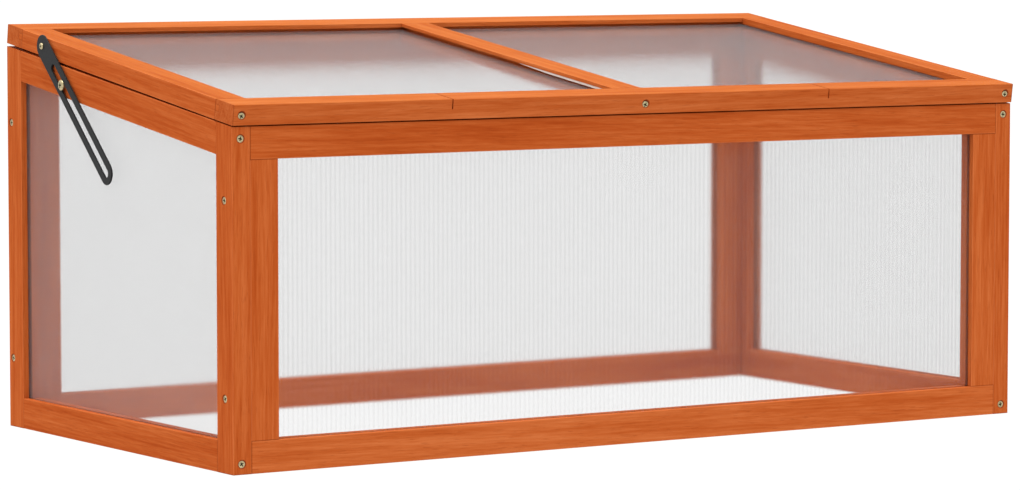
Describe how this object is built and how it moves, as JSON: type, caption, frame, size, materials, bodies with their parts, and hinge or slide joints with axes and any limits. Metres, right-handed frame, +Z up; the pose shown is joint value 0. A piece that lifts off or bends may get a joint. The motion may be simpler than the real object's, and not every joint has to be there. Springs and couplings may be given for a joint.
{
  "type": "cold frame",
  "caption": "Low timber garden frame with translucent twin-wall walls and a hinged sloping glazed lid held open by a slotted stay.",
  "frame": {"origin": "on the ground, in the middle of the box", "axes": "+X to the right seen from the front, along the box's width; +Y to the back; +Z up"},
  "size_m": [1.0058, 0.5141, 0.4422],
  "materials": {
    "timber": "stained planed softwood, satin",
    "sheet": "clear twin-wall sheet",
    "black_steel": "black coated steel, semi-matt",
    "zinc": "yellow zinc plated steel",
    "hinge_steel": "zinc plated steel"
  },
  "bodies": {
    "frame": {"front_left_post": "timber", "front_right_post": "timber", "back_left_post": "timber", "back_right_post": "timber", "front_top_rail": "timber", "front_bottom_rail": "timber", "front_left_stile": "timber", "front_right_stile": "timber", "back_top_rail": "timber", "back_bottom_rail": "timber", "back_left_stile": "timber", "back_right_stile": "timber", "left_top_rail": "timber", "left_bottom_rail": "timber", "right_top_rail": "timber", "right_bottom_rail": "timber", "front_sheet": "sheet", "back_sheet": "sheet", "left_sheet": "sheet", "right_sheet": "sheet", "left_hinge_frame_leaf": "hinge_steel", "left_hinge_pin": "hinge_steel", "right_hinge_frame_leaf": "hinge_steel", "right_hinge_pin": "hinge_steel", "stay_guide_screw": "zinc", "front_post_screws": "zinc", "back_post_screws": "zinc", "front_stile_screws": "zinc", "back_stile_screws": "zinc", "front_rail_screws": "zinc", "back_rail_screws": "zinc", "hinge_frame_screws": "zinc"},
    "lid": {"lid_front_rail": "timber", "lid_back_rail": "timber", "lid_left_rail": "timber", "lid_right_rail": "timber", "lid_mullion": "timber", "lid_left_sheet": "sheet", "lid_right_sheet": "sheet", "left_hinge_lid_leaf": "hinge_steel", "right_hinge_lid_leaf": "hinge_steel", "stay_pivot_screw": "zinc", "stay_pivot_spacer": "zinc", "lid_front_screws": "zinc", "lid_back_screws": "zinc", "hinge_lid_screws": "zinc"},
    "stay": {"stay_arm": "black_steel"}
  },
  "joints": [
    {"name": "lid_hinge", "type": "hinge", "parent": "frame", "child": "lid", "pos_m": [0, 0.2551, 0.41988], "axis": [-1, 0, 0], "range_deg": [0, 90]},
    {"name": "stay_pivot", "type": "hinge", "parent": "lid", "child": "stay", "pos_m": [-0.5028, 0.15953, 0.42031], "axis": [-1, 0, 0], "range_deg": [-95, 0]}
  ],
  "couplings": [
    {"joint": "stay_pivot", "follows": "lid_hinge", "ratio": -1.0248}
  ]
}
